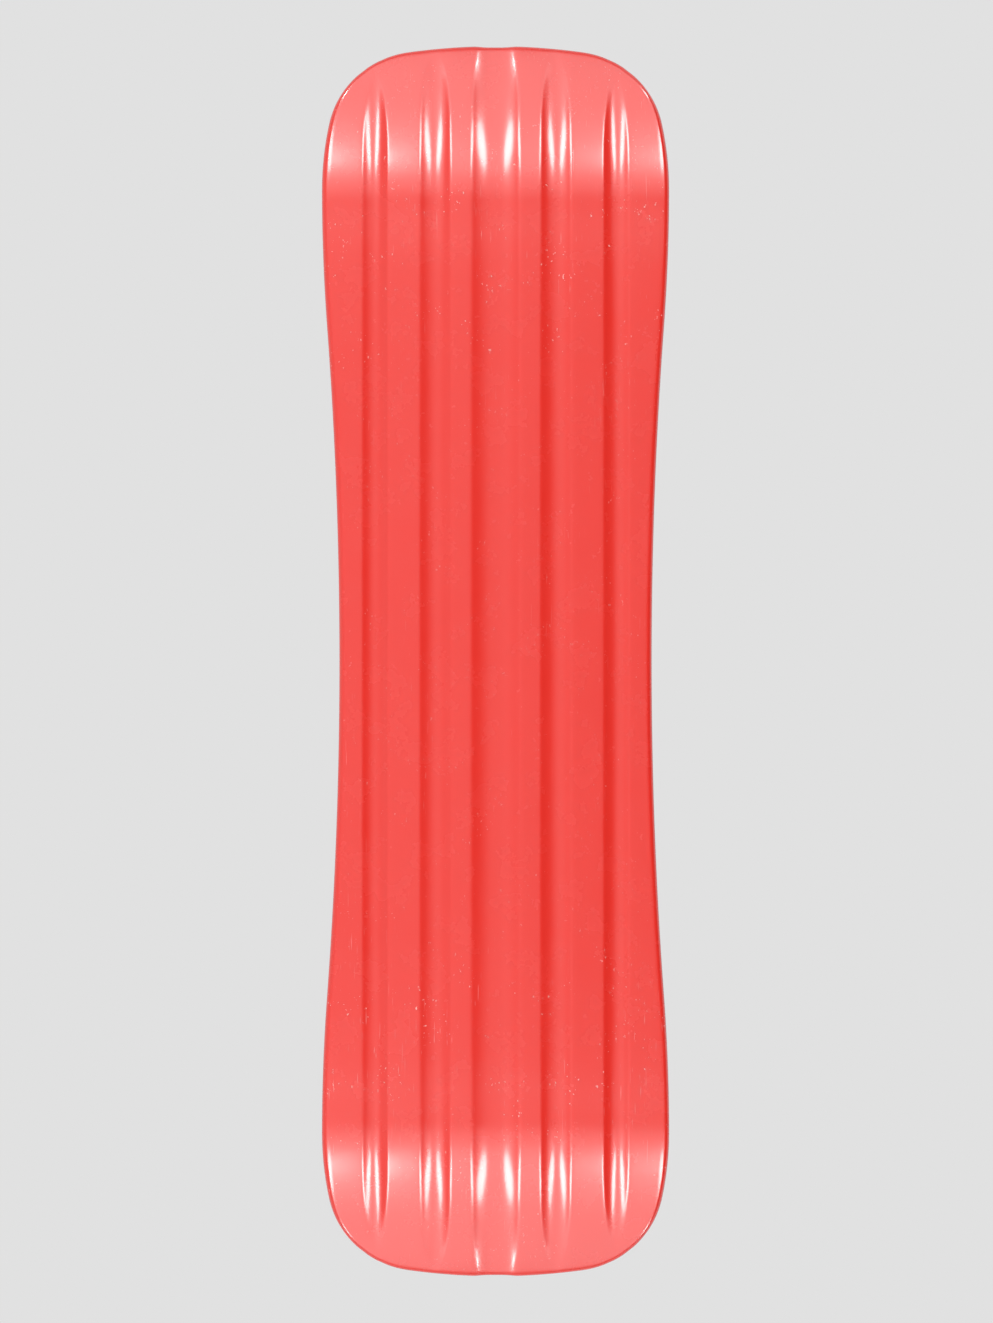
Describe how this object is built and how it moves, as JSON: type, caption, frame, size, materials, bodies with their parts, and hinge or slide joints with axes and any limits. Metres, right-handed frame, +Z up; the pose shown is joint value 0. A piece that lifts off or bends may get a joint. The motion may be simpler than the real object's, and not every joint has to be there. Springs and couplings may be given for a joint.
{
  "type": "snowskate",
  "caption": "Single-deck snowskate: a twin-tip moulded plastic board with lengthwise base channels, turned-up nose and tail, and grooved foam grip pads glued to its top.",
  "frame": {"origin": "on the ground under the middle of the board", "axes": "+Y towards the nose, +Z up from the running base to the grip pads, +X across the board"},
  "size_m": [0.2552, 0.908, 0.0402],
  "materials": {
    "deck_plastic": "glossy moulded red polyethylene",
    "grip_foam": "matt closed-cell EVA foam",
    "adhesive": "thin pressure-sensitive adhesive"
  },
  "bodies": {
    "root": {"deck": "deck_plastic", "nose_grip_pad": "grip_foam", "front_grip_pad": "grip_foam", "middle_grip_pad": "grip_foam", "rear_grip_pad": "grip_foam", "tail_grip_pad": "grip_foam", "nose_adhesive": "adhesive", "front_adhesive": "adhesive", "middle_adhesive": "adhesive", "rear_adhesive": "adhesive", "tail_adhesive": "adhesive"}
  },
  "joints": []
}
